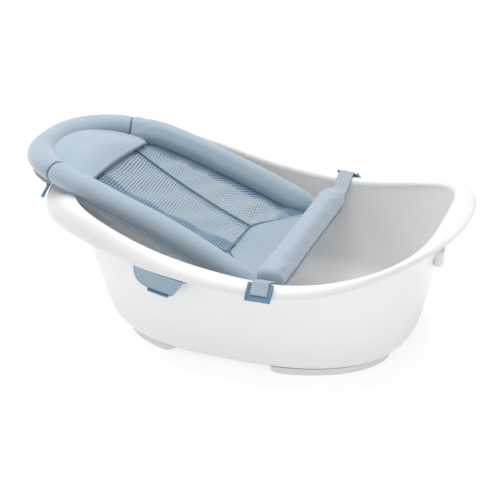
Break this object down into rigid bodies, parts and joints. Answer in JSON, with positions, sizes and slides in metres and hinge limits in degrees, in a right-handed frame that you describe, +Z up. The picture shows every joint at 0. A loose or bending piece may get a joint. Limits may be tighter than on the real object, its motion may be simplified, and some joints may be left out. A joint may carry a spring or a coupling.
{
  "type": "baby bathtub",
  "caption": "White moulded baby bathtub with a saddle rim and a padded mesh newborn sling on a hoop frame, clipped over the rim, with side flap and floor drain.",
  "frame": {"origin": "bottom centre of the whole object, on the surface that the foot pads stand on", "axes": "+X towards the foot end, -X the head end with the sling, +Z up, the side flap on the -Y side"},
  "size_m": [0.7486, 0.5132, 0.3081],
  "materials": {
    "tub_plastic": "satin white",
    "foot_pad": "matte white",
    "drain_seat": "matte white",
    "drain_plug": "soft blue",
    "flap_plastic": "satin blue-grey",
    "clip_plastic": "satin slate blue",
    "hinge_steel": "plain",
    "frame_steel": "coated",
    "padded_fabric": "soft knit",
    "mesh_fabric": "open mesh",
    "webbing": "woven"
  },
  "bodies": {
    "tub": {"tub_shell": "tub_plastic", "foot_pad_foot_near": "foot_pad", "foot_pad_foot_far": "foot_pad", "foot_pad_head_near": "foot_pad", "foot_pad_head_far": "foot_pad", "drain_seat": "drain_seat", "flap_bracket": "flap_plastic", "flap_pin": "hinge_steel"},
    "flap": {"side_flap": "flap_plastic", "flap_tab": "clip_plastic"},
    "plug": {"drain_plug": "drain_plug"},
    "sling": {"frame_hoop": "frame_steel", "foot_rod": "frame_steel", "frame_ferrule_near": "frame_steel", "frame_ferrule_far": "frame_steel", "headrest_pillow": "padded_fabric", "foot_cushion": "padded_fabric", "cushion_welt": "padded_fabric", "back_mesh": "mesh_fabric", "side_mesh_near": "mesh_fabric", "side_mesh_far": "mesh_fabric", "seat_mesh": "mesh_fabric", "sleeve_near": "padded_fabric", "welt_near": "padded_fabric", "sleeve_head": "padded_fabric", "welt_head": "padded_fabric", "sleeve_far": "padded_fabric", "welt_far": "padded_fabric", "strap_front_near": "webbing", "strap_front_far": "webbing", "strap_head_near": "webbing", "strap_head_far": "webbing"},
    "clip_front_near": {"clip_front_near": "clip_plastic", "strap_end_front_near": "webbing"},
    "clip_front_far": {"clip_front_far": "clip_plastic", "strap_end_front_far": "webbing"},
    "clip_head_near": {"clip_head_near": "clip_plastic", "strap_end_head_near": "webbing"},
    "clip_head_far": {"clip_head_far": "clip_plastic", "strap_end_head_far": "webbing"}
  },
  "joints": [
    {"name": "sling_lift", "type": "slide", "parent": "tub", "child": "sling", "axis": [0, 0, 1], "range_m": [0, 0.16]},
    {"name": "plug_pull", "type": "slide", "parent": "tub", "child": "plug", "axis": [0, 0, 1], "range_m": [0, 0.04]},
    {"name": "flap_swing", "type": "hinge", "parent": "tub", "child": "flap", "pos_m": [-0.0607, -0.229, 0.188], "axis": [-0.9866, 0.0708, 0.1469], "range_deg": [0, 50]},
    {"name": "clip_front_near_swing", "type": "hinge", "parent": "sling", "child": "clip_front_near", "pos_m": [0.10758, -0.22924, 0.19763], "axis": [-0.9968, -0.0775, 0.0208], "range_deg": [0, 80]},
    {"name": "clip_front_far_swing", "type": "hinge", "parent": "sling", "child": "clip_front_far", "pos_m": [0.10758, 0.22924, 0.19763], "axis": [0.9968, -0.0775, -0.0208], "range_deg": [0, 80]},
    {"name": "clip_head_near_swing", "type": "hinge", "parent": "sling", "child": "clip_head_near", "pos_m": [-0.31924, -0.08435, 0.24202], "axis": [-0.2948, 0.9556, 0.0022], "range_deg": [0, 80]},
    {"name": "clip_head_far_swing", "type": "hinge", "parent": "sling", "child": "clip_head_far", "pos_m": [-0.31924, 0.08435, 0.24202], "axis": [0.2948, 0.9556, -0.0022], "range_deg": [0, 80]}
  ]
}
